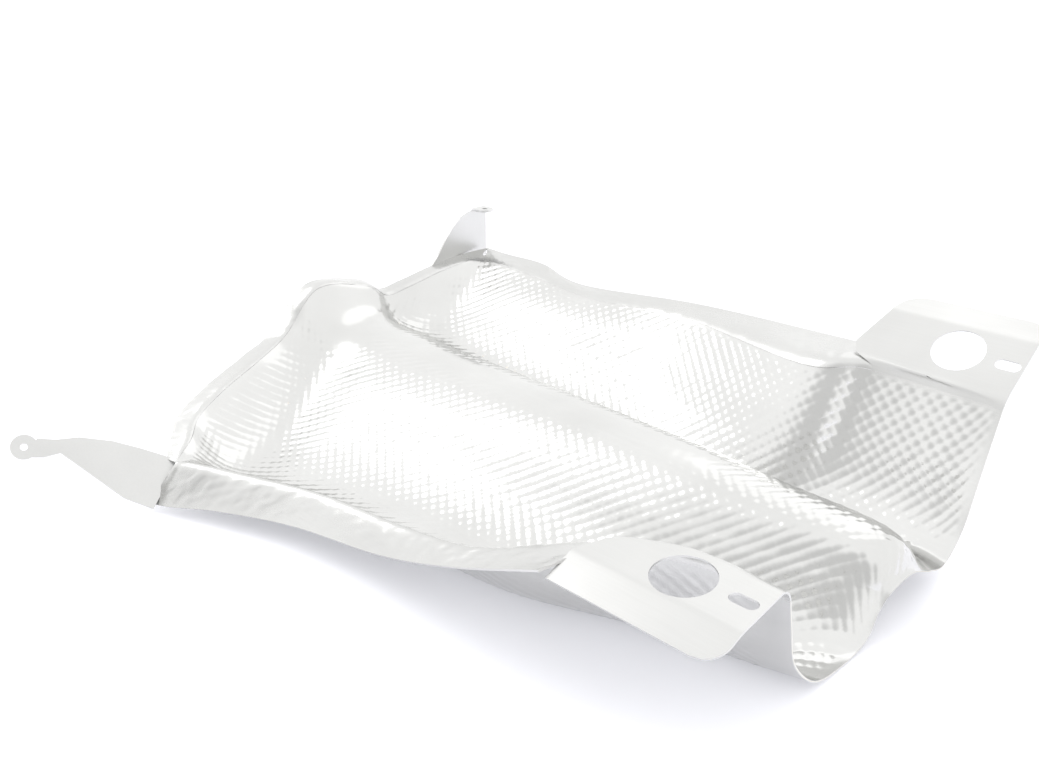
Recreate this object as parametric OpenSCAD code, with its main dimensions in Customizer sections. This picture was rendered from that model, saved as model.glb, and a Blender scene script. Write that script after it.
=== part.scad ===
// Embossed aluminium exhaust heat shield: a two-trough tray with a middle ridge,
// smooth rims, two punched mounting flaps and two screw ears.
// Units are millimetres, +Z is up and the open (exhaust) side faces up.
// The tray lies on z = 0 with the ridge along X.

/* [Sheet stack] */
// Thickness of each aluminium skin
skin_t = 0.5; // [0.4:0.1:0.8]
// Thickness of the insulation felt between the skins
core_t = 0.8; // [0.6:0.1:1.2]

/* [Mounting flaps] */
// Diameter of the large clearance hole in each flap
flap_hole_d = 30; // [20:1:32]
// Length of the slot in each flap
slot_l = 14; // [10:1:18]
// Width of the slot in each flap
slot_w = 7; // [5:0.5:9]
// Distance along X from the large hole to the slot
slot_offset = 29; // [27:1:30]
// Width of the turned-down lip on each flap
lip_w = 19; // [12:1:22]
// Angle of the lip below its flap
lip_drop = 17; // [5:1:30]
// Slope of the front flap, down towards the outside
front_flap_slope = 5; // [0:1:10]
// Slope of the back flap, up towards the outside
back_flap_slope = 33; // [28:1:38]

/* [Ears] */
// Diameter of the screw hole in each ear
ear_hole_d = 4.2; // [3:0.1:6]
// Radius of the round tip of the front ear
ear_tip_r = 7.5; // [6:0.5:9]

/* [Mesh] */
// Steps between two stations along the tray
steps_along = 4; // [2:1:5]
// Steps between two points across the tray
steps_across = 3; // [2:1:4]

/* [Hidden] */

stack_t = 2 * skin_t + core_t;
bore_fn = 96;
tip_fn = 48;

// Middle of the bounding box and its lowest point, which become the origin
middle = [-189.4, -51.4];
lowest = 0.6;

// Underside of the tray. Each station runs from the front wall's crest over the
// front trough, the ridge and the back trough to the top of the back wall.
TRAY = [
    // top of the left end wall
    [[-335, -188, 26], [-342, -180, 28], [-350, -170, 31], [-366, -155, 36],
     [-378, -128, 44], [-390, -93, 52], [-402, -62, 60], [-408, -28, 86],
     [-408, 16, 78], [-410, 36, 66], [-410, 58, 68], [-410, 88, 73],
     [-406, 112, 77], [-402, 134, 80]],
    // foot of the left end wall
    [[-322, -182, 27], [-325, -172, 20], [-330, -162, 12], [-340, -145, 10],
     [-350, -115, 14], [-362, -85, 24], [-375, -50, 42], [-385, -22, 60],
     [-388, 14, 58], [-392, 36, 44], [-392, 58, 42], [-390, 84, 50],
     [-385, 108, 64], [-380, 130, 78]],
    // widest part of the front trough
    [[-290, -168, 26], [-292, -160, 19], [-295, -150, 10], [-300, -132, 5],
     [-308, -105, 10], [-318, -75, 24], [-328, -42, 42], [-335, -14, 52],
     [-338, 18, 52], [-342, 40, 36], [-345, 60, 32], [-345, 86, 46],
     [-342, 110, 64], [-338, 130, 76]],
    // dip in the back rim
    [[-235, -152, 28], [-236, -144, 19], [-238, -135, 9], [-242, -116, 3],
     [-248, -92, 7], [-255, -64, 21], [-262, -36, 40], [-268, -10, 50],
     [-272, 20, 50], [-276, 42, 32], [-278, 62, 25], [-278, 88, 42],
     [-278, 110, 62], [-278, 128, 72]],
    // middle
    [[-165, -147, 33], [-165, -140, 21], [-166, -129, 8], [-168, -110, 2],
     [-170, -86, 5], [-174, -60, 18], [-178, -36, 37], [-182, -12, 50],
     [-185, 19, 50], [-188, 42, 28], [-190, 60, 18], [-190, 86, 36],
     [-190, 110, 60], [-190, 128, 78]],
    // bulge of the front wall
    [[-100, -148, 48], [-99, -142, 34], [-98, -128, 14], [-97, -104, 2],
     [-97, -80, 2], [-98, -56, 14], [-100, -35, 34], [-103, -13, 49],
     [-103, 18, 49], [-96, 42, 24], [-88, 57, 14], [-80, 71, 31],
     [-75, 84, 57], [-76, 98, 83]],
    // start of the flaps
    [[-40, -120, 66], [-38, -116, 48], [-36, -108, 22], [-35, -90, 4],
     [-35, -68, 2], [-36, -48, 12], [-38, -31, 30], [-41, -12, 46],
     [-43, 17, 46], [-42, 43, 22], [-41, 61, 11], [-41, 83, 27],
     [-41, 99, 57], [-40, 113, 91]],
    // nose of the ridge
    [[12, -106, 70], [13, -102.5, 50], [15, -96, 24], [17, -79, 5],
     [18, -55, 2], [18, -36, 10], [20, -20, 28], [22, -6, 42],
     [22, 18, 42], [18, 42, 20], [18, 62, 10], [18, 83, 24],
     [18, 97, 54], [16, 112, 92]],
    // right end
    [[38, -105, 70], [38, -100, 48], [38, -93, 25], [39, -74, 6],
     [39, -50, 1], [39, -26, 4], [38, -13, 16], [40, -4, 25],
     [40, 16, 25], [39, 40, 14], [38, 62, 8], [38, 81, 22],
     [38, 95, 54], [38, 111, 91.5]]
];

// Outer edge of the left end flange, one point beside each point of the first station
LEFT_EDGE = [
    [-343, -190, 26], [-352, -184, 28], [-362, -176, 31], [-378, -162, 36],
    [-390, -135, 44], [-402, -100, 52], [-413, -68, 60], [-420, -30, 87],
    [-420, 18, 80], [-420, 36, 69], [-420, 58, 71], [-420, 89, 76],
    [-418, 120, 80], [-412, 148, 82]
];

// Outer edge of the front rim flange, one point beside each station it passes
FRONT_EDGE = [
    [-338, -206, 4], [-322, -202, 6], [-290, -188, 10], [-238, -170, 14],
    [-168, -162, 22], [-108, -164, 42], [-52, -162, 64]
];

// Outer edge of the back rim flange, one point beside each station it passes
BACK_EDGE = [
    [-412, 148, 82], [-385, 146, 82], [-345, 146, 82], [-300, 143, 75],
    [-190, 142, 85], [-84, 134, 91], [-58, 130, 93]
];

// How far the front rim rolls over above the straight line to its outer edge
front_roll = 4;

// Middle of the large hole in each flap
front_hole = [0, -127, 69];
back_hole = [0, 131, 103.6];
// Edge of each flap on the tray's side: x, then distance outwards from the hole
FRONT_FLAP = [[38, -22], [12, -21.5], [-10, -17.5], [-28, -12], [-48, 0]];
BACK_FLAP = [[38, -25], [-50, -25], [-58, -12], [-50, 16]];
// Where each lip starts and ends along X, and its fold's distance from the hole
front_lip_x = [-50, 40];
back_lip_x = [-46, 38];
front_fold = 15;
back_fold = 18;
lip_corner_r = 12;

// The front ear lies in the plane of these three points: the top and the foot of
// its root, and the middle of its screw hole
ear_root_top = [-343, -188, 26];
ear_root_foot = [-342, -222, 12];
ear_hole = [-379, -259.5, 46.3];
// Outline of the front ear from the screw hole: along the ear, then across it
FRONT_EAR = [[-86, -16], [-63, -17], [-46, -17], [-27, -14], [-15, -9], [-5, -7],
             [-5, 5], [-12, 3], [-20, -2], [-62, 15], [-80, 17]];

// The back ear stands on the left end: y and z of its outline, and its bent tip
back_ear_x = -420;
BACK_EAR = [[88, 74], [92, 79], [98, 85], [106, 96], [114, 105], [123, 112], [133, 115.5],
            [150, 117.5], [152, 110], [152, 76]];
back_tip_z = 116;
back_tip_hole = [-411, 144];
back_tip_r = 7;

// ---- smooth surfaces ----

// The value at t along a list of points, or of whole rows of them
function along(list, t) =
    let (n = len(list), i = min(floor(t), n - 2), u = t - i)
    let (b = list[i], c = list[i + 1])
    let (a = i == 0 ? 2 * b - c : list[i - 1])
    let (d = i == n - 2 ? 2 * c - b : list[i + 2])
    0.5 * (2 * b + (c - a) * u + (2 * a - 5 * b + 4 * c - d) * u * u
        + (3 * b - 3 * c + d - a) * u * u * u);

// A list with n steps between each two of its values
function refine(list, n) =
    [for (k = [0 : n * (len(list) - 1)]) along(list, k / n)];

// A net of points refined both ways
function net(rows, nu, nv) = [for (row = refine(rows, nu)) refine(row, nv)];

function unit(v) = v / norm(v);

// The direction from the neighbour before to the neighbour after
function slope(list, k) = list[min(k + 1, len(list) - 1)] - list[max(k - 1, 0)];

// A net moved by h along its own normals
function lifted(net, h) =
    [for (i = [0 : len(net) - 1]) let (down = slope(net, i))
        [for (j = [0 : len(net[0]) - 1])
            net[i][j] + h * unit(cross(down[j], slope(net[i], j)))]];

// A sheet of metal between two heights above a net, as one closed solid
module sheet(net, low, high) {
    nu = len(net);
    nv = len(net[0]);
    half = nu * nv;
    low_net = lifted(net, low);
    high_net = lifted(net, high);
    points = [for (side = [low_net, high_net], row = side, p = row) p];
    skins = [for (i = [0 : nu - 2], j = [0 : nv - 2])
        let (a = i * nv + j, b = a + 1, c = a + nv, d = c + 1)
        each [[a, c, b], [b, c, d], [half + a, half + b, half + c],
              [half + b, half + d, half + c]]];
    rim = concat(
        [for (j = [0 : nv - 1]) j],
        [for (i = [1 : nu - 1]) i * nv + nv - 1],
        [for (j = [nv - 2 : -1 : 0]) (nu - 1) * nv + j],
        [for (i = [nu - 2 : -1 : 1]) i * nv]);
    walls = [for (k = [0 : len(rim) - 1])
        let (a = rim[k], b = rim[(k + 1) % len(rim)])
        each [[a, b, half + b], [a, half + b, half + a]]];
    polyhedron(points, concat(skins, walls), convexity = 12);
}

// Puts a child's own XY plane at a point, with its X axis along one direction
module on_plane(at, x_axis, normal) {
    z = unit(normal);
    x = unit(x_axis - z * (x_axis * z));
    y = cross(z, x);
    multmatrix([[x[0], y[0], z[0], at[0]], [x[1], y[1], z[1], at[1]],
                [x[2], y[2], z[2], at[2]], [0, 0, 0, 1]])
        children();
}

// Stands the part on z = 0 with the middle of its bounding box over the origin
module centred() {
    translate([-middle[0], -middle[1], -lowest]) children();
}

// ---- the tray ----

tray_net = net(TRAY, steps_along, steps_across);

module exhaust_side_skin() {
    color("gainsboro") centred() sheet(tray_net, skin_t + core_t, stack_t);
}

module insulation_core() {
    color("beige") centred() sheet(tray_net, skin_t, skin_t + core_t);
}

module body_side_skin() {
    color("silver") centred() sheet(tray_net, 0, skin_t);
}

// ---- the smooth rims ----

// Rolls over the crest of the front wall and slopes down outside it
module front_rim_flange() {
    rows = [for (k = [0 : len(FRONT_EDGE) - 1])
        let (outer = FRONT_EDGE[k], crest = TRAY[k][0])
        [outer, (outer + crest) / 2 + [0, -1, front_roll], crest]];
    color("lightgray") centred() sheet(net(rows, steps_along, 2), 0, stack_t);
}

// Carries the back wall up to the back edge
module back_rim_flange() {
    last = len(BACK_EDGE) - 1;
    rows = [for (k = [0 : last]) [TRAY[k][len(TRAY[k]) - 1], BACK_EDGE[k]]];
    color("lightgray") centred() sheet(net(rows, steps_along, 2), 0, stack_t);
}

// Turns outwards from the left end wall, over the hump of the ridge
module left_end_flange() {
    rows = [for (k = [0 : len(LEFT_EDGE) - 1]) [TRAY[0][k], LEFT_EDGE[k]]];
    color("lightgray") centred() sheet(net(rows, steps_across, 2), 0, stack_t);
}

// ---- the mounting flaps ----

module slot_cut(depth) {
    side = (slot_l - slot_w) / 2;
    for (x = [-side, side])
        translate([x, 0, 0]) cylinder(h = depth, d = slot_w, center = true, $fn = bore_fn);
    cube([2 * side, slot_w, depth], center = true);
}

// Section of a flap and its lip as y and z, from the tray's side outwards
function flap_section(fold) =
    let (fall = [cos(lip_drop), -sin(lip_drop)], up = [sin(lip_drop), cos(lip_drop)])
    let (edge = [fold, 0] + lip_w * fall)
    [[-40, 0], [fold, 0], edge, edge + stack_t * up,
     [fold + stack_t * tan(lip_drop / 2), stack_t], [-40, stack_t]];

// A flap in its own frame: the hole's middle at the origin, +Y outwards
module mounting_flap(inner_edge, fold, lip_x, round_left) {
    reach = fold + lip_w * cos(lip_drop);
    corner = [for (a = [90 : -15 : 0]) lip_corner_r * [cos(a) - 1, sin(a) - 1]];
    right = [for (c = corner) [lip_x[1] + c[0], reach + c[1]]];
    left = round_left ? [for (k = [6 : -1 : 0]) [lip_x[0] - corner[k][0], reach + corner[k][1]]]
        : [[lip_x[0], reach]];
    difference() {
        intersection() {
            translate([-80, 0, 0]) rotate([90, 0, 90])
                linear_extrude(160) polygon(flap_section(fold));
            linear_extrude(6 * lip_w, center = true)
                polygon(concat(inner_edge, left, right));
        }
        cylinder(h = 6 * stack_t, d = flap_hole_d, center = true, $fn = bore_fn);
        translate([slot_offset, -2, 0]) slot_cut(6 * stack_t);
    }
}

module front_mounting_flap() {
    color("gainsboro") centred() translate(front_hole) rotate([front_flap_slope, 0, 0])
        mirror([0, 1, 0]) mounting_flap(FRONT_FLAP, front_fold, front_lip_x, false);
}

module back_mounting_flap() {
    color("gainsboro") centred() translate(back_hole) rotate([back_flap_slope, 0, 0])
        mounting_flap(BACK_FLAP, back_fold, back_lip_x, true);
}

// ---- the ears ----

module front_ear() {
    normal = cross(ear_root_top - ear_root_foot, ear_hole - ear_root_foot);
    foot_to_tip = ear_hole - (ear_root_top + ear_root_foot) / 2;
    color("silver") centred() on_plane(ear_hole, foot_to_tip, normal)
        difference() {
            union() {
                linear_extrude(stack_t) polygon(FRONT_EAR);
                cylinder(h = stack_t, r = ear_tip_r, $fn = tip_fn);
            }
            cylinder(h = 6 * stack_t, d = ear_hole_d, center = true, $fn = bore_fn);
        }
}

module back_ear() {
    tip = [back_tip_hole[0], back_tip_hole[1], back_tip_z];
    color("silver") centred() {
        translate([back_ear_x, 0, 0]) rotate([90, 0, 90])
            linear_extrude(stack_t) polygon(BACK_EAR);
        difference() {
            translate(tip) {
                cylinder(h = stack_t, r = back_tip_r, $fn = tip_fn);
                translate([back_ear_x - tip[0], -back_tip_r, 0])
                    cube([tip[0] - back_ear_x, 2 * back_tip_r, stack_t]);
            }
            translate(tip)
                cylinder(h = 6 * stack_t, d = ear_hole_d, center = true, $fn = bore_fn);
        }
    }
}

exhaust_side_skin();
insulation_core();
body_side_skin();
front_rim_flange();
back_rim_flange();
left_end_flange();
front_mounting_flap();
back_mounting_flap();
front_ear();
back_ear();
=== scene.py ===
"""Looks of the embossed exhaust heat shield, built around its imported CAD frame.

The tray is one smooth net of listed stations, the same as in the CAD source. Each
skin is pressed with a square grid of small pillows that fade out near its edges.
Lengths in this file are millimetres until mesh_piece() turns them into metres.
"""

import math

import bmesh
import bpy
import numpy as np
from bpy.props import FloatProperty, FloatVectorProperty, IntProperty, PointerProperty
from bpy.types import Operator, Panel, PropertyGroup
from mathutils import Matrix, Vector


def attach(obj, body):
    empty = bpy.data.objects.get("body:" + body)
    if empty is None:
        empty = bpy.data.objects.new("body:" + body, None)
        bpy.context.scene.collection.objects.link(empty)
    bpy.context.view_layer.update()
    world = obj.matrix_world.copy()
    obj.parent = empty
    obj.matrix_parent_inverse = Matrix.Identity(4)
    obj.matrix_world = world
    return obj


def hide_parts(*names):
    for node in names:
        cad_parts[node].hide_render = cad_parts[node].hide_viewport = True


bl_info = {
    "name": "Embossed Heat Shield",
    "version": (1, 0, 0),
    "blender": (4, 5, 0),
    "location": "3D View > Sidebar > Heat Shield",
    "description": "Builds an embossed aluminium exhaust heat shield around its CAD frame",
    "category": "Add Mesh",
}

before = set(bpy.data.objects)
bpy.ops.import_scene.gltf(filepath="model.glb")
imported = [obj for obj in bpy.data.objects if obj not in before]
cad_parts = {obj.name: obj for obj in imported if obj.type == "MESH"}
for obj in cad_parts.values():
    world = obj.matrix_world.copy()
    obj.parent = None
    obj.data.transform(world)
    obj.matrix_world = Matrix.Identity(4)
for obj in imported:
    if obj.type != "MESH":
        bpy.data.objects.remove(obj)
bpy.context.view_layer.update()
MM = 0.001
BODY = "root"

# The CAD source's origin: middle of the bounding box and its lowest point
SHIFT = np.array([189.4, 51.4, -0.6])

# Stations along X of the tray's underside, from the front crest to the back crest
TRAY = np.array([
    # top of the left end wall
    [[-335, -188, 26], [-342, -180, 28], [-350, -170, 31], [-366, -155, 36],
     [-378, -128, 44], [-390, -93, 52], [-402, -62, 60], [-408, -28, 86],
     [-408, 16, 78], [-410, 36, 66], [-410, 58, 68], [-410, 88, 73],
     [-406, 112, 77], [-402, 134, 80]],
    # foot of the left end wall
    [[-322, -182, 27], [-325, -172, 20], [-330, -162, 12], [-340, -145, 10],
     [-350, -115, 14], [-362, -85, 24], [-375, -50, 42], [-385, -22, 60],
     [-388, 14, 58], [-392, 36, 44], [-392, 58, 42], [-390, 84, 50],
     [-385, 108, 64], [-380, 130, 78]],
    # widest part of the front trough
    [[-290, -168, 26], [-292, -160, 19], [-295, -150, 10], [-300, -132, 5],
     [-308, -105, 10], [-318, -75, 24], [-328, -42, 42], [-335, -14, 52],
     [-338, 18, 52], [-342, 40, 36], [-345, 60, 32], [-345, 86, 46],
     [-342, 110, 64], [-338, 130, 76]],
    # dip in the back rim
    [[-235, -152, 28], [-236, -144, 19], [-238, -135, 9], [-242, -116, 3],
     [-248, -92, 7], [-255, -64, 21], [-262, -36, 40], [-268, -10, 50],
     [-272, 20, 50], [-276, 42, 32], [-278, 62, 25], [-278, 88, 42],
     [-278, 110, 62], [-278, 128, 72]],
    # middle
    [[-165, -147, 33], [-165, -140, 21], [-166, -129, 8], [-168, -110, 2],
     [-170, -86, 5], [-174, -60, 18], [-178, -36, 37], [-182, -12, 50],
     [-185, 19, 50], [-188, 42, 28], [-190, 60, 18], [-190, 86, 36],
     [-190, 110, 60], [-190, 128, 78]],
    # bulge of the front wall
    [[-100, -148, 48], [-99, -142, 34], [-98, -128, 14], [-97, -104, 2],
     [-97, -80, 2], [-98, -56, 14], [-100, -35, 34], [-103, -13, 49],
     [-103, 18, 49], [-96, 42, 24], [-88, 57, 14], [-80, 71, 31],
     [-75, 84, 57], [-76, 98, 83]],
    # start of the flaps
    [[-40, -120, 66], [-38, -116, 48], [-36, -108, 22], [-35, -90, 4],
     [-35, -68, 2], [-36, -48, 12], [-38, -31, 30], [-41, -12, 46],
     [-43, 17, 46], [-42, 43, 22], [-41, 61, 11], [-41, 83, 27],
     [-41, 99, 57], [-40, 113, 91]],
    # nose of the ridge
    [[12, -106, 70], [13, -102.5, 50], [15, -96, 24], [17, -79, 5],
     [18, -55, 2], [18, -36, 10], [20, -20, 28], [22, -6, 42],
     [22, 18, 42], [18, 42, 20], [18, 62, 10], [18, 83, 24],
     [18, 97, 54], [16, 112, 92]],
    # right end
    [[38, -105, 70], [38, -100, 48], [38, -93, 25], [39, -74, 6],
     [39, -50, 1], [39, -26, 4], [38, -13, 16], [40, -4, 25],
     [40, 16, 25], [39, 40, 14], [38, 62, 8], [38, 81, 22],
     [38, 95, 54], [38, 111, 91.5]],
], float)
STATIONS, ACROSS = TRAY.shape[:2]
LAST_U, LAST_V = STATIONS - 1, ACROSS - 1
FLAP_U = 6.0  # the flaps start at this station

# Outer edges of the smooth rims, one point beside each point that they pass
LEFT_EDGE = np.array([
    [-343, -190, 26], [-352, -184, 28], [-362, -176, 31], [-378, -162, 36],
    [-390, -135, 44], [-402, -100, 52], [-413, -68, 60], [-420, -30, 87],
    [-420, 18, 80], [-420, 36, 69], [-420, 58, 71], [-420, 89, 76],
    [-418, 120, 80], [-412, 148, 82]], float)
FRONT_EDGE = np.array([
    [-338, -206, 4], [-322, -202, 6], [-290, -188, 10], [-238, -170, 14],
    [-168, -162, 22], [-108, -164, 42], [-52, -162, 64]], float)
BACK_EDGE = np.array([
    [-412, 148, 82], [-385, 146, 82], [-345, 146, 82], [-300, 143, 75],
    [-190, 142, 85], [-84, 134, 91], [-58, 130, 93]], float)

# Mounting flaps: middle of the large hole, slope, fold and lip
FRONT_HOLE = np.array([0, -127, 69], float)
BACK_HOLE = np.array([0, 131, 103.6], float)
FRONT_SLOPE = math.radians(-5)
BACK_SLOPE = math.radians(33)
FRONT_FOLD, BACK_FOLD = 15, 18
LIP_DROP = math.radians(17)
LIP_CORNER = 12
SLOT_OFFSET = 29  # from the large hole to the slot, along X
SLOT_INSET = 2  # the slot's middle lies this much nearer the tray
FOLD_ROUND = 2  # half of the length that the fold's rounding takes
HOLE_MARGIN = 16.5  # the bend from the wall ends this far from the large hole's middle

# Studio: where the dark of the room lies, seen from the shield, and the camera's place
ROOM_WAY = (0.3, -0.88, 0.37)
ROOM_EDGE, ROOM_MIDDLE = 0.66, 0.9
STUDIO_LIGHT, ROOM_DARKNESS = 1.33, 0.43
CAMERA_PLACE = (0.4104, -0.3956, 0.3164)
CAMERA_AZIMUTH, CAMERA_ELEVATION = math.radians(45), math.radians(22.4)
CAMERA_LENS, CAMERA_SENSOR = 36.38, 36



def ramp(x, start, end):
    """0 before start and 1 after end, with a smooth step between."""
    t = np.clip((x - start) / (end - start), 0, 1)
    return t * t * (3 - 2 * t)


def unit(v):
    return v / np.linalg.norm(v, axis=-1, keepdims=True)


def crumple(along, across):
    """Small chance unevenness of handled sheet, from -0.2 to 0.2."""
    chance = np.random.default_rng(5)
    total = 0
    for wave in np.linspace(7, 26, 16):
        turn, phase = chance.uniform(0, 2 * math.pi, 2)
        way = along * math.cos(turn) + across * math.sin(turn)
        total = total + np.sin(2 * math.pi * way / wave + phase)
    return np.clip(0.07 * total, -0.2, 0.2)


# ---- smooth nets ----


def spline_weights(count, t):
    """How much of each of count points the smooth line through them has at each t."""
    t = np.atleast_1d(np.asarray(t, float))
    i = np.clip(np.floor(t).astype(int), 0, count - 2)
    s = t - i
    before = 0.5 * (-s + 2 * s**2 - s**3)
    here = 0.5 * (2 - 5 * s**2 + 3 * s**3)
    after = 0.5 * (s + 4 * s**2 - 3 * s**3)
    beyond = 0.5 * (-(s**2) + s**3)
    weights = np.zeros((len(t), count))
    rows = np.arange(len(t))
    first, last = i == 0, i == count - 2
    np.add.at(weights, (rows, i), here + np.where(first, 2 * before, 0))
    np.add.at(weights, (rows, i + 1), after + np.where(first, -before, 0))
    np.add.at(weights, (rows[~first], i[~first] - 1), before[~first])
    np.add.at(weights, (rows[~last], i[~last] + 2), beyond[~last])
    np.add.at(weights, (rows[last], i[last] + 1), 2 * beyond[last])
    np.add.at(weights, (rows[last], i[last]), -beyond[last])
    return weights


def smooth_line(points, t):
    return spline_weights(len(points), t) @ points


def tray_points(u, v):
    """Points of the tray's underside. u is one value a row, v one value a point."""
    columns = np.einsum("is,sck->ick", spline_weights(STATIONS, u), TRAY)
    return np.stack([spline_weights(ACROSS, v[i]) @ columns[i] for i in range(len(u))])


def trims(u):
    """Where the pressed tray stops short of its crests, to leave room for the folds."""
    flap = ramp(u, FLAP_U - 0.7, FLAP_U + 0.2)
    return 0.28 * flap, LAST_V - 0.16 * flap


def even_steps(points, count, axis):
    """count values of a net's own parameter along an axis, evenly spaced by length."""
    lengths = np.linalg.norm(np.diff(points, axis=axis), axis=-1).mean(1 - axis)
    total = np.concatenate([[0], np.cumsum(lengths)])
    return np.interp(np.linspace(0, total[-1], count), total, np.linspace(0, 1, len(total)))


def travelled(points, axis):
    """Length along an axis of a net of points, from its first row or column."""
    steps = np.linalg.norm(np.diff(points, axis=axis), axis=-1)
    pad = [(1, 0), (0, 0)] if axis == 0 else [(0, 0), (1, 0)]
    return np.pad(np.cumsum(steps, axis=axis), pad)


def net_normals(points):
    return unit(np.cross(np.gradient(points, axis=0), np.gradient(points, axis=1)))


class TrayNet:
    """The tray's net at one mesh size, with lengths along and across it."""

    def __init__(self, cell, every):
        rough_u = np.linspace(0, LAST_U, 161)
        rough_v = np.tile(np.linspace(0, LAST_V, 196), (161, 1))
        rough = tray_points(rough_u, rough_v)
        wide = travelled(rough, 0)[-1].mean()
        deep = travelled(rough, 1)[:, -1].mean()
        rows = every * round(wide / cell / every) + 1
        points = every * round(deep / cell / every) + 1
        self.u = LAST_U * even_steps(rough, rows, 0)
        across = even_steps(rough, points, 1)
        front, back = trims(self.u)
        self.v = front[:, None] + (back - front)[:, None] * across[None, :]
        self.points = tray_points(self.u, self.v)
        self.normals = net_normals(self.points)
        self.from_front = travelled(self.points, 1)
        self.from_back = self.from_front[:, -1:] - self.from_front
        self.from_left = travelled(self.points, 0)
        self.from_right = self.from_left[-1:] - self.from_left

    def grid_place(self):
        """Place of each point in the flat sheet that the tray was pressed from."""
        ridge = (LAST_V + 2) / 2
        middle = int(np.argmin(abs(self.u - LAST_U / 2)))
        along = self.points[middle, :, 0] + self.from_left - self.from_left[middle]
        across = np.empty_like(self.from_front)
        for i in range(len(self.u)):
            across[i] = self.from_front[i] - np.interp(ridge, self.v[i], self.from_front[i])
        return along, across

    def pressing(self, pitch):
        """Height of the embossed pattern at each point, from -1 to 1."""
        along, across = self.grid_place()
        x, y = self.points[..., 0], self.points[..., 1]
        # the sheet stretches a little as it is pressed, so its grid isn't quite straight
        drift_a = 0.5 * np.sin(across / 37 + along / 90) + 0.3 * np.sin(across / 17 - along / 41)
        drift_b = 0.5 * np.sin(along / 43 - across / 80) + 0.3 * np.sin(along / 19 + across / 33)
        # the grid lies at 45 degrees to the ridge, with a narrow groove between pillows
        first = (along + drift_a + across + drift_b) / math.sqrt(2)
        second = (along + drift_a - across - drift_b) / math.sqrt(2)
        pillow = sum(np.sqrt(np.sin(np.pi * way / pitch) ** 2 + 0.04) - 0.62
                     for way in (first, second)) / 0.83
        depth = 0.7 + 0.1 * np.sin(along / 23 + 2 * np.sin(across / 29)) * np.sin(across / 27)
        mask = (
            ramp(self.from_front, 3, 8)
            * ramp(self.from_back, 0.5, 4)
            * ramp(self.from_left, 4, 10)
        )
        # wide smooth tongues where the two troughs leave at the right end
        tongue = 2 + 16 * np.maximum(ramp(y, 24, 38) * (1 - ramp(y, 62, 80)),
                                     1 - ramp(y, -72, -56))
        mask = mask * ramp(self.from_right - tongue, 0, 6)
        # smooth top of the ridge and smooth hump above the left end
        ridge_top = ramp(y, -15, -9) * (1 - ramp(y, 9, 14)) * (1 - ramp(x, -82, -62))
        hump = (1 - ramp(x, -372, -352)) * (1 - ramp(abs(y + 5), 28, 40))
        smooth = np.maximum(ridge_top, hump)
        return mask * (pillow * depth * (1 - smooth)
                       + crumple(along, across) * (1 - 0.5 * smooth))


# ---- meshes ----


class MeshParts:
    """Collects points and faces of a mesh, with a normal for each corner."""

    def __init__(self):
        self.points, self.normals, self.faces, self.count = [], [], [], 0

    def add_points(self, points, normals):
        start = self.count
        self.points.append(points.reshape(-1, 3))
        self.normals.append(normals.reshape(-1, 3))
        self.count += len(self.points[-1])
        return start + np.arange(len(self.points[-1])).reshape(points.shape[:-1])

    def add_quads(self, ids, flip=False):
        a, b, c, d = ids[:-1, :-1], ids[1:, :-1], ids[1:, 1:], ids[:-1, 1:]
        quads = np.stack([a, d, c, b] if flip else [a, b, c, d], -1).reshape(-1, 4)
        self.faces.append((quads, None))

    def add_face(self, ids, normal):
        self.faces.append((np.array([ids]), normal))


def mesh_piece(name, parts, material):
    """A mesh object from collected parts, in metres, riding on the shield."""
    points = (np.concatenate(parts.points) + SHIFT) * MM
    vertex_normals = np.concatenate(parts.normals)
    loops = np.concatenate([f.reshape(-1) for f, _ in parts.faces])
    totals = np.concatenate([np.full(len(f), f.shape[1]) for f, _ in parts.faces])
    corner_normals = np.concatenate([
        vertex_normals[f.reshape(-1)] if n is None else np.tile(n, (f.size, 1))
        for f, n in parts.faces])
    mesh = bpy.data.meshes.new(name)
    mesh.vertices.add(len(points))
    mesh.vertices.foreach_set("co", points.astype(np.float32).reshape(-1))
    mesh.loops.add(len(loops))
    mesh.loops.foreach_set("vertex_index", loops.astype(np.int32))
    mesh.polygons.add(len(totals))
    starts = np.concatenate([[0], np.cumsum(totals)[:-1]])
    mesh.polygons.foreach_set("loop_start", starts.astype(np.int32))
    mesh.polygons.foreach_set("loop_total", totals.astype(np.int32))
    mesh.update(calc_edges=True)
    if mesh.validate():
        raise RuntimeError(f"{name}: the mesh had faces that had to be mended")
    mesh.shade_smooth()
    mesh.normals_split_custom_set(unit(corner_normals).astype(np.float32))
    return finished_piece(name, mesh, material)


def finished_piece(name, mesh, material):
    mesh.materials.append(bpy.data.materials[material])
    piece = bpy.data.objects.new(name, mesh)
    bpy.context.scene.collection.objects.link(piece)
    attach(piece, BODY)
    return piece


def border(ids):
    """The ids round a net's edge, anticlockwise seen from its normal's side."""
    return np.concatenate([ids[:, 0], ids[-1, 1:], ids[-2::-1, -1], ids[0, -2:0:-1]])


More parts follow.
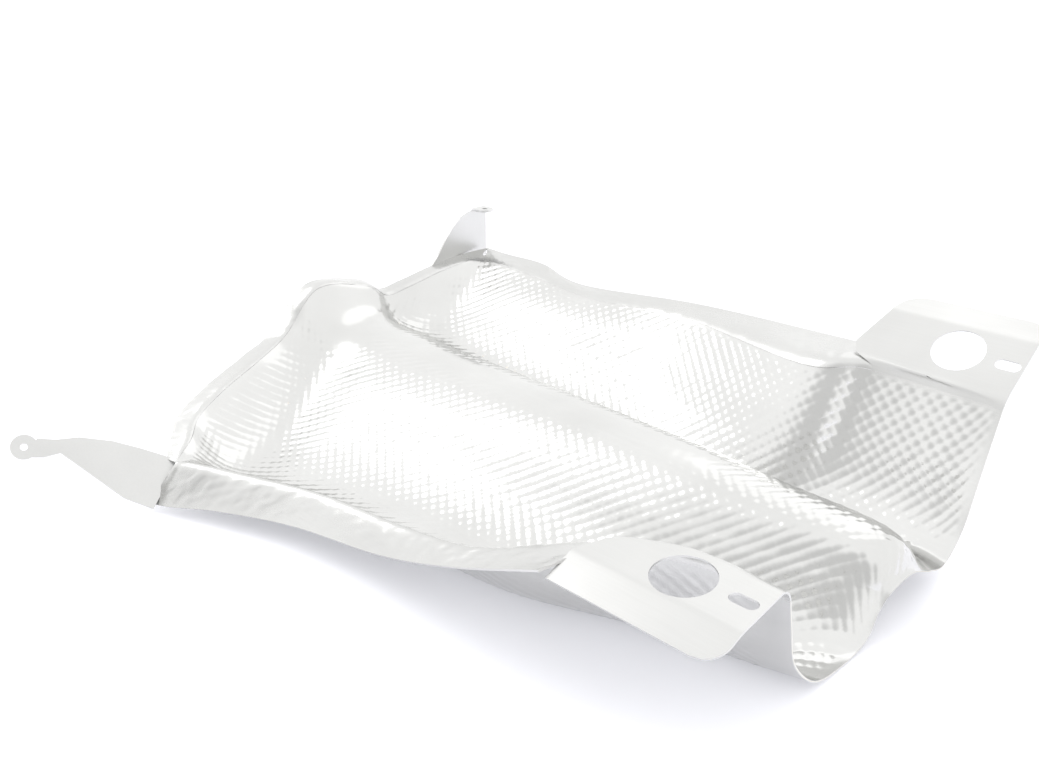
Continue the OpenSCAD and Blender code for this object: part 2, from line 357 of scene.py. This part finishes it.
def plate(fine, fine_normals, hidden, hidden_normals, every, fine_on_top):
    """A closed plate with one fine face and one coarse one, every-th point of its net."""
    parts = MeshParts()
    fine_ids = parts.add_points(fine, fine_normals if fine_on_top else -fine_normals)
    coarse = (slice(None, None, every), slice(None, None, every))
    sign = -1 if fine_on_top else 1
    hidden_ids = parts.add_points(hidden[coarse], sign * hidden_normals[coarse])
    parts.add_quads(fine_ids, flip=not fine_on_top)
    parts.add_quads(hidden_ids, flip=fine_on_top)
    around, inner = border(fine_ids), border(hidden_ids)
    place = np.concatenate(parts.points)
    for k in range(len(inner)):
        low = [inner[k], inner[(k + 1) % len(inner)]]
        high = [around[(k * every + n) % len(around)] for n in range(every, -1, -1)]
        ids = low + high if fine_on_top else low[::-1] + high[::-1]
        edge = place[high[0]] - place[high[-1]]
        rise = place[high[0]] - place[low[1]]
        normal = np.cross(edge, rise)
        parts.add_face(ids, unit(normal if fine_on_top else -normal))
    return parts


def strip(points, low, high, uneven=0):
    """A closed strip of sheet between two heights above a net of points."""
    normals = net_normals(points)
    # the unevenness dies away towards both long edges
    inward = np.sin(np.linspace(0, math.pi, points.shape[1])) ** 0.7
    wave = uneven * inward[None, :] * crumple(travelled(points, 0), travelled(points, 1))
    top = points + (high + wave)[..., None] * normals
    bottom = points + (low + wave)[..., None] * normals
    shades = net_normals(top) if uneven else normals
    return plate(top, shades, bottom, normals, 1, True)


# ---- socket maths ----


class Sock:
    """A shader socket that Python's own operators can do sums on."""

    def __init__(self, tree, socket):
        self.tree, self.socket = tree, socket

    def node(self, kind, settings=(), inputs=(), out=0):
        """One node: its settings first, then the values or links of its sockets."""
        made = self.tree.nodes.new(kind)
        for key, value in dict(settings).items():
            setattr(made, key, value)
        for key, value in dict(inputs).items():
            if isinstance(value, Sock):
                self.tree.links.new(value.socket, made.inputs[key])
            else:
                made.inputs[key].default_value = value
        return Sock(self.tree, made.outputs[out])

    def sum_with(self, operation, a, b):
        return self.node("ShaderNodeMath", {"operation": operation}, {0: a, 1: b})

    def __add__(self, other):
        return self.sum_with("ADD", self, other)

    def __radd__(self, other):
        return self.sum_with("ADD", other, self)

    def __sub__(self, other):
        return self.sum_with("SUBTRACT", self, other)

    def __rsub__(self, other):
        return self.sum_with("SUBTRACT", other, self)

    def __mul__(self, other):
        return self.sum_with("MULTIPLY", self, other)

    def __rmul__(self, other):
        return self.sum_with("MULTIPLY", other, self)

    def clamp(self, low, high, new_low=0.0, new_high=1.0):
        return self.node("ShaderNodeMapRange", {}, {
            "Value": self, "From Min": low, "From Max": high,
            "To Min": new_low, "To Max": new_high})


class Finish:
    """A new material, its Principled shader and the object's own coordinates."""

    def __init__(self, name):
        self.material = bpy.data.materials.new(name)
        self.material.use_nodes = True
        self.tree = self.material.node_tree
        self.shader = self.tree.nodes["Principled BSDF"]
        coordinates = self.tree.nodes.new("ShaderNodeTexCoord")
        self.place = Sock(self.tree, coordinates.outputs["Object"])

    def node(self, *args, **kwargs):
        return self.place.node(*args, **kwargs)

    def noise(self, scale, detail=2.0, stretch=(1, 1, 1), roughness=0.5):
        """Smooth noise from 0 to 1. Scale is in waves a metre."""
        place = self.node("ShaderNodeMapping", {}, {"Vector": self.place, "Scale": stretch})
        return self.node("ShaderNodeTexNoise", {}, {
            "Vector": place, "Scale": scale, "Detail": detail, "Roughness": roughness})

    def blend(self, factor, first, second):
        made = self.tree.nodes.new("ShaderNodeMix")
        made.data_type = "RGBA"
        self.tree.links.new(factor.socket, made.inputs[0])
        for place, value in ((6, first), (7, second)):
            if isinstance(value, Sock):
                self.tree.links.new(value.socket, made.inputs[place])
            else:
                made.inputs[place].default_value = (*value[:3], 1)
        return Sock(self.tree, made.outputs[2])

    def bump(self, height, distance, strength=1.0):
        return self.node("ShaderNodeBump", {}, {
            "Height": height, "Distance": distance, "Strength": strength})

    def set(self, **values):
        for key, value in values.items():
            socket = self.shader.inputs[key.replace("_", " ")]
            if isinstance(value, Sock):
                self.tree.links.new(value.socket, socket)
            else:
                socket.default_value = value


# ---- sizes and colours ----


class HeatShieldSizes(PropertyGroup):
    """Sizes of the pressed sheet and its flaps."""

    dimple_pitch: FloatProperty(
        name="Dimple pitch", description="Distance between two embossed dimples",
        default=5.8 * MM, min=0.003, max=0.02, unit="LENGTH", precision=4)
    dimple_depth: FloatProperty(
        name="Dimple depth", description="Height of the embossing, lowest to highest point",
        default=0.66 * MM, min=0, max=0.0008, unit="LENGTH", precision=5)
    exhaust_cell: FloatProperty(
        name="Exhaust side mesh", description="Mesh size of the exhaust side skin",
        default=1.03 * MM, min=0.0008, max=0.005, unit="LENGTH", precision=5)
    body_cell: FloatProperty(
        name="Body side mesh", description="Mesh size of the body side skin",
        default=1.4 * MM, min=0.0008, max=0.005, unit="LENGTH", precision=5)
    hole_diameter: FloatProperty(
        name="Flap hole", description="Diameter of the large hole in each flap",
        default=30 * MM, unit="LENGTH", precision=4)
    slot_length: FloatProperty(
        name="Slot length", description="Length of the slot in each flap",
        default=14 * MM, unit="LENGTH", precision=4)
    slot_width: FloatProperty(
        name="Slot width", description="Width of the slot in each flap",
        default=7 * MM, unit="LENGTH", precision=4)
    lip_width: FloatProperty(
        name="Lip width", description="Width of the turned-down lip of each flap",
        default=19 * MM, unit="LENGTH", precision=4)
    round_steps: IntProperty(
        name="Round steps", description="Sides of each punched hole", default=96, min=24, max=192)


class HeatShieldColours(PropertyGroup):
    """Colours of the metal, the felt and the floor."""

    aluminium: FloatVectorProperty(
        name="Aluminium", description="Colour of the bare aluminium sheet",
        subtype="COLOR", size=3, default=(0.67, 0.67, 0.66), min=0, max=1)
    smudged: FloatVectorProperty(
        name="Smudged aluminium", description="Colour of the handled patches of the sheet",
        subtype="COLOR", size=3, default=(0.6, 0.6, 0.59), min=0, max=1)
    felt: FloatVectorProperty(
        name="Felt", description="Colour of the insulation felt",
        subtype="COLOR", size=3, default=(0.78, 0.75, 0.68), min=0, max=1)
    floor: FloatVectorProperty(
        name="Floor", description="Colour of the floor",
        subtype="COLOR", size=3, default=(0.91, 0.91, 0.95), min=0, max=1)


def sizes():
    return bpy.context.scene.heat_shield_sizes


def colours():
    return bpy.context.scene.heat_shield_colours


# Heights in the sheet stack above the tray's net
BODY_MEAN, CORE_LOW, CORE_HIGH, EXHAUST_LOW, EXHAUST_MEAN = 0.4, 0.75, 1.05, 1.05, 1.47
RIM_LOW, RIM_HIGH = BODY_MEAN, EXHAUST_MEAN


class HeatShieldFinishes(Operator):
    """Make the finishes of the shield's metal and felt"""

    bl_idname = "heat_shield.finishes"
    bl_label = "Finishes"

    def execute(self, context):
        # The last number darkens the base colour as painted shade: the smooth rims and the flaps
        # are darker copies of the embossed sheet's aluminium.
        self.metal("embossed_sheet", 0.13, 0.22, 0.00002, 1.0)
        self.metal("smooth_rim", 0.22, 0.36, 0.00004, 0.95)
        self.metal("punched_flap", 0.28, 0.42, 0.00002, 0.97)
        self.felt()
        return {"FINISHED"}

    def metal(self, name, polished, dulled, grain, painted_shade):
        f = Finish(name)
        patches = f.noise(14, 3).clamp(0.35, 0.7)
        rolling = f.noise(60, 4, stretch=(0.6, 16, 16))
        specks = f.noise(900, 2)
        handled = (patches * 0.6 + rolling * 0.4).clamp(0.1, 0.9)
        # The base colours are scaled by the painted shade factor, which paints shade onto the rims
        # and flaps.
        f.set(
            Metallic=1.0,
            Base_Color=f.blend(handled, *(tuple(painted_shade * c for c in colour) for colour in (
                colours().aluminium, colours().smudged))),
            Roughness=(handled * 0.7 + specks * 0.3).clamp(0, 1, polished, dulled),
            Normal=f.bump(rolling * 0.7 + specks * 0.3, grain))

    def felt(self):
        f = Finish("insulation_felt")
        fibres = f.noise(1400, 4, stretch=(1, 1, 3))
        f.set(
            Base_Color=f.blend(fibres, colours().felt, (0.9, 0.88, 0.82)),
            Roughness=0.95,
            Normal=f.bump(fibres, 0.0002))


class HeatShieldSkins(Operator):
    """Press the two embossed skins with the felt between them"""

    bl_idname = "heat_shield.skins"
    bl_label = "Embossed skins and felt"

    def execute(self, context):
        s = sizes()
        self.skin(s.exhaust_cell / MM, 6, "exhaust_side_skin", EXHAUST_MEAN, EXHAUST_LOW, True)
        self.skin(s.body_cell / MM, 5, "body_side_skin", BODY_MEAN, CORE_LOW, False)
        net = TrayNet(6, 1)
        parts = plate(net.points + CORE_HIGH * net.normals, net.normals,
                      net.points + CORE_LOW * net.normals, net.normals, 1, True)
        core = mesh_piece("felt_core", parts, "insulation_felt")
        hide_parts("insulation_core")
        return {"FINISHED"}

    def skin(self, cell, every, node, mean, hidden, on_top):
        s = sizes()
        net = TrayNet(cell, every)
        height = 0.5 * s.dimple_depth / MM * net.pressing(s.dimple_pitch / MM)
        shown = net.points + (mean + height)[..., None] * net.normals
        parts = plate(shown, net_normals(shown), net.points + hidden * net.normals,
                      net.normals, every, on_top)
        piece = mesh_piece(node + "_sheet", parts, "embossed_sheet")
        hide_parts(node)


def rim_profile(start, lead, end, lean, count):
    """Smooth curves from start along lead to end along lean, one for each row."""
    t = np.linspace(0, 1, count)[None, :, None]
    a, b, p, q = (x[:, None, :] for x in (start, end, lead, lean))
    return ((2 * t**3 - 3 * t**2 + 1) * a + (t**3 - 2 * t**2 + t) * p
            + (3 * t**2 - 2 * t**3) * b + (t**3 - t**2) * q)


def crest(u, back):
    """Edge of the pressed tray and the way its wall runs there, out of the tray."""
    front_v, back_v = trims(u)
    v = (back_v if back else front_v)[:, None]
    inward = -0.02 if back else 0.02
    edge = tray_points(u, v)[:, 0]
    return edge, unit(edge - tray_points(u, v + inward)[:, 0])


class HeatShieldRims(Operator):
    """Form the smooth rims along the front, the back and the left end"""

    bl_idname = "heat_shield.rims"
    bl_label = "Smooth rims"

    def execute(self, context):
        self.front()
        self.back()
        self.left()
        return {"FINISHED"}

    def finish(self, name, parts, node):
        rim = mesh_piece(name, parts, "smooth_rim")
        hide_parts(node)

    def front(self):
        u = np.linspace(0, FLAP_U, 241)
        edge, lead = crest(u, False)
        outer = smooth_line(FRONT_EDGE, u)
        size = np.linalg.norm(outer - edge, axis=1, keepdims=True)
        lean = outer - edge + [0, -4, -6]
        points = rim_profile(edge, lead * size * 0.55, outer, lean, 25)
        self.finish("front_rim", strip(points[:, ::-1], RIM_LOW, RIM_HIGH, 0.9), "front_rim_flange")

    def back(self):
        u = np.linspace(0, FLAP_U, 241)
        edge, lead = crest(u, True)
        outer = smooth_line(BACK_EDGE, u)
        size = np.linalg.norm(outer - edge, axis=1, keepdims=True)
        points = rim_profile(edge, lead * size * 0.8, outer, outer - edge, 17)
        self.finish("back_rim", strip(points, RIM_LOW, RIM_HIGH, 0.9), "back_rim_flange")

    def left(self):
        v = np.linspace(0, LAST_V, 281)
        edge = tray_points(np.zeros(1), v[None])[0]
        inside = tray_points(np.full(1, 0.02), v[None])[0]
        outer = smooth_line(LEFT_EDGE, v)
        size = np.linalg.norm(outer - edge, axis=1, keepdims=True)
        points = rim_profile(edge, unit(edge - inside) * size * 0.8, outer, outer - edge, 15)
        net = np.swapaxes(points, 0, 1)[::-1]
        self.finish("left_end_rim", strip(net, RIM_LOW, RIM_HIGH, 0.9), "left_end_flange")


class HeatShieldFlaps(Operator):
    """Fold the two mounting flaps and punch their holes and slots"""

    bl_idname = "heat_shield.flaps"
    bl_label = "Mounting flaps"

    def execute(self, context):
        self.flap("front_flap", "front_mounting_flap", FRONT_HOLE, FRONT_SLOPE, FRONT_FOLD, -1,
                  [(-5, -40), (0, -44), (15, -50), (34, -50)], [(-22, 38), (15, 40), (34, 40)])
        self.flap("back_flap", "back_mounting_flap", BACK_HOLE, BACK_SLOPE, BACK_FOLD, 1,
                  [(-25, -50), (-12, -58), (16, -50), (36, -46)], [(-25, 38), (36, 38)])
        return {"FINISHED"}

    def flap(self, name, node, hole, slope, fold, side, left, right):
        """side is 1 for the flap behind the tray and -1 for the one in front of it."""
        s = sizes()
        back = side > 0
        out = np.array([0, side * math.cos(slope), math.sin(slope)])
        up = np.array([0, -side * math.sin(slope), math.cos(slope)])
        fall = math.cos(LIP_DROP) * out - math.sin(LIP_DROP) * up
        reach = fold + s.lip_width / MM
        u = np.linspace(FLAP_U, LAST_U, 81)
        edge, lead = crest(u, back)
        share = np.linspace(0, 1, len(u))

        def x_at(d, part):
            ends = np.interp(d, *zip(*left)), np.interp(d, *zip(*right))
            return ends[0] + (ends[1] - ends[0]) * part

        # across the flap: the bend from the wall, the plane, the fold and the lip
        bend = 12
        rows = []
        # the bend is as long as an even curve from the wall to the flap's plane needs
        rise = abs((edge - hole) @ up)
        turned = lead @ out
        needed = np.clip(rise * np.sqrt((1 + turned) / (1 - turned)), 2.5, 12)
        start = (edge - hole) @ out
        start = start + np.minimum(needed, np.maximum(-HOLE_MARGIN - start, 2.5))
        for k in range(len(u)):
            begin = start[k]
            foot = hole + begin * out
            foot[0] = x_at(begin, share[k])
            size = np.linalg.norm(foot - edge[k])
            curve = rim_profile(edge[k][None], lead[k][None] * size, foot[None],
                                out[None] * size, bend)[0]
            ds = np.linspace(begin, fold - FOLD_ROUND, 14)[1:]
            flat = [hole + d * out + [x_at(d, share[k]) - hole[0], 0, 0] for d in ds]
            fold_t = np.linspace(0, 1, 7)[1:]
            tail = np.linspace(0, 1, 14)[1:]
            a = hole + (fold - FOLD_ROUND) * out
            b = hole + fold * out + FOLD_ROUND * fall
            bent = [a * (1 - t) ** 2 + 2 * t * (1 - t) * (hole + fold * out) + b * t * t
                    for t in fold_t]
            bent = [np.array([x_at(fold + FOLD_ROUND * (2 * t - 1), share[k]), p[1], p[2]])
                    for t, p in zip(fold_t, bent)]
            lip = []
            for t in tail:
                d = FOLD_ROUND + (s.lip_width / MM - FOLD_ROUND) * t
                p = hole + fold * out + d * fall
                cut = corner_cut(reach - (fold + d), LIP_CORNER)
                low = x_at(fold + d, 0) + (cut if back else 0)
                high = x_at(fold + d, 1) - cut
                lip.append(np.array([low + (high - low) * share[k], p[1], p[2]]))
            rows.append(np.concatenate([curve, flat, bent, lip]))
        points = np.array(rows)
        if not back:
            points = points[:, ::-1]
        parts = strip(points, RIM_LOW, RIM_HIGH)
        piece = mesh_piece(name, parts, "punched_flap")
        self.punch(piece, hole, out, up)
        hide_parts(node)

    def punch(self, piece, hole, out, up):
        along, up = Vector((1, 0, 0)), Vector(up)
        turn = Matrix((along, up.cross(along), up)).transposed()
        for kind in ("hole", "slot"):
            cutter = self.cutter(kind)
            middle = hole if kind == "hole" else hole + [SLOT_OFFSET, 0, 0] - SLOT_INSET * out
            cutter.transform(Matrix.Translation(Vector((middle + SHIFT) * MM)) @ turn.to_4x4())
            tool = bpy.data.objects.new("cutter", cutter)
            bpy.context.scene.collection.objects.link(tool)
            cut = piece.modifiers.new("punch", "BOOLEAN")
            cut.operation, cut.solver, cut.object = "DIFFERENCE", "EXACT", tool
            graph = bpy.context.evaluated_depsgraph_get()
            done = bpy.data.meshes.new_from_object(piece.evaluated_get(graph))
            piece.modifiers.clear()
            done.materials.clear()
            done.materials.append(piece.data.materials[0])
            piece.data = done
            bpy.data.objects.remove(tool)

    def cutter(self, kind):
        s = sizes()
        if kind == "hole":
            radius, side = s.hole_diameter / 2, 0
        else:
            radius, side = s.slot_width / 2, (s.slot_length - s.slot_width) / 2
        steps = s.round_steps
        ring = []
        for k in range(steps):
            angle = 2 * math.pi * (k + 0.5) / steps
            shift = side if math.cos(angle) > 0 else -side
            ring.append((radius * math.cos(angle) + shift, radius * math.sin(angle)))
        tall = 6 * MM
        cut = bmesh.new()
        low = [cut.verts.new((x, y, -tall)) for x, y in ring]
        high = [cut.verts.new((x, y, tall)) for x, y in ring]
        cut.faces.new(low[::-1])
        cut.faces.new(high)
        for k in range(steps):
            n = (k + 1) % steps
            cut.faces.new((low[k], low[n], high[n], high[k]))
        mesh = bpy.data.meshes.new("cutter")
        cut.to_mesh(mesh)
        cut.free()
        return mesh


def corner_cut(to_edge, radius):
    """How far a rounded corner pulls a side in, at a distance from the outer edge."""
    if to_edge >= radius:
        return 0.0
    return radius - math.sqrt(max(radius**2 - (radius - to_edge) ** 2, 0.0))


class HeatShieldEars(Operator):
    """Finish the two screw ears"""

    bl_idname = "heat_shield.ears"
    bl_label = "Ears"

    def execute(self, context):
        for node in ("front_ear", "back_ear"):
            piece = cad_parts[node]
            piece.data.materials.clear()
            piece.data.materials.append(bpy.data.materials["punched_flap"])
        return {"FINISHED"}


class HeatShieldStage(Operator):
    """Set the floor, the soft studio light and the camera"""

    bl_idname = "heat_shield.stage"
    bl_label = "Studio"

    def execute(self, context):
        scene = context.scene
        scene.view_settings.view_transform = "Standard"
        self.floor()
        self.sky(scene)
        self.lamp("key_light", (-0.9, -0.27, 1.1), (0, 0, 0.03), 0.6, 2)
        self.lamp("back_light", (-0.2, 1.2, 1.3), (0, 0, 0.05), 1.2, 1)
        self.camera(scene)
        return {"FINISHED"}

    def floor(self):
        mesh = bpy.data.meshes.new("floor")
        half, low = 6.0, -0.0002
        mesh.from_pydata([(-half, -half, low), (half, -half, low), (half, half, low),
                          (-half, half, low)], [], [(0, 1, 2, 3)])
        finish = Finish("pale_floor")
        patches = finish.noise(3, 2)
        tint = tuple(0.985 * c for c in colours().floor)
        finish.set(Base_Color=finish.blend(patches, colours().floor, tint), Roughness=0.7,
                   Emission_Color=(0.95, 0.96, 1, 1), Emission_Strength=0.25)
        mesh.materials.append(finish.material)
        floor = bpy.data.objects.new("floor", mesh)
        bpy.context.scene.collection.objects.link(floor)

    def sky(self, scene):
        """Even white light all round, darker towards the room in front of the shield."""
        world = bpy.data.worlds.new("studio")
        world.use_nodes = True
        tree = world.node_tree
        coordinates = tree.nodes.new("ShaderNodeTexCoord")
        way = Sock(tree, coordinates.outputs["Generated"])
        facing = way.node("ShaderNodeVectorMath", {"operation": "DOT_PRODUCT"},
                          {0: way, 1: ROOM_WAY}, out=1)
        room = facing.clamp(ROOM_EDGE, ROOM_MIDDLE)
        light = STUDIO_LIGHT - room * ROOM_DARKNESS
        background = tree.nodes["Background"]
        tree.links.new(light.socket, background.inputs["Strength"])
        background.inputs["Color"].default_value = (1, 1, 1, 1)
        scene.world = world

    def lamp(self, name, place, target, size, power):
        light = bpy.data.lights.new(name, "AREA")
        light.shape, light.size, light.energy = "DISK", size, power
        lamp = bpy.data.objects.new(name, light)
        lamp.location = place
        way = Vector(target) - Vector(place)
        lamp.rotation_euler = way.to_track_quat("-Z", "Y").to_euler()
        bpy.context.scene.collection.objects.link(lamp)

    def camera(self, scene):
        lens = bpy.data.cameras.new("camera")
        lens.sensor_fit = "HORIZONTAL"
        lens.sensor_width = CAMERA_SENSOR
        lens.lens = CAMERA_LENS
        camera = bpy.data.objects.new("camera", lens)
        camera.location = CAMERA_PLACE
        level = math.cos(CAMERA_ELEVATION)
        way = Vector((-math.sin(CAMERA_AZIMUTH) * level, math.cos(CAMERA_AZIMUTH) * level,
                      -math.sin(CAMERA_ELEVATION)))
        camera.rotation_euler = way.to_track_quat("-Z", "Y").to_euler()
        scene.collection.objects.link(camera)
        scene.camera = camera


BUILD_STEPS = (HeatShieldFinishes, HeatShieldSkins, HeatShieldRims, HeatShieldFlaps,
               HeatShieldEars, HeatShieldStage)


class HeatShieldPanel(Panel):
    """Lists the shield's sizes, colours and building steps"""

    bl_label = "Heat Shield"
    bl_idname = "HEATSHIELD_PT_panel"
    bl_space_type = "VIEW_3D"
    bl_region_type = "UI"
    bl_category = "Heat Shield"

    def draw(self, context):
        for group in (context.scene.heat_shield_sizes, context.scene.heat_shield_colours):
            for key in group.__annotations__:
                self.layout.prop(group, key)
        for step in BUILD_STEPS:
            self.layout.operator(step.bl_idname)


CLASSES = (HeatShieldSizes, HeatShieldColours, *BUILD_STEPS, HeatShieldPanel)


def register():
    for kind in CLASSES:
        bpy.utils.register_class(kind)
    bpy.types.Scene.heat_shield_sizes = PointerProperty(type=HeatShieldSizes)
    bpy.types.Scene.heat_shield_colours = PointerProperty(type=HeatShieldColours)


def unregister():
    del bpy.types.Scene.heat_shield_colours
    del bpy.types.Scene.heat_shield_sizes
    for kind in reversed(CLASSES):
        bpy.utils.unregister_class(kind)


def main():
    register()
    for step in BUILD_STEPS:
        group, name = step.bl_idname.split(".")
        getattr(getattr(bpy.ops, group), name)()


if __name__ == "__main__":
    main()
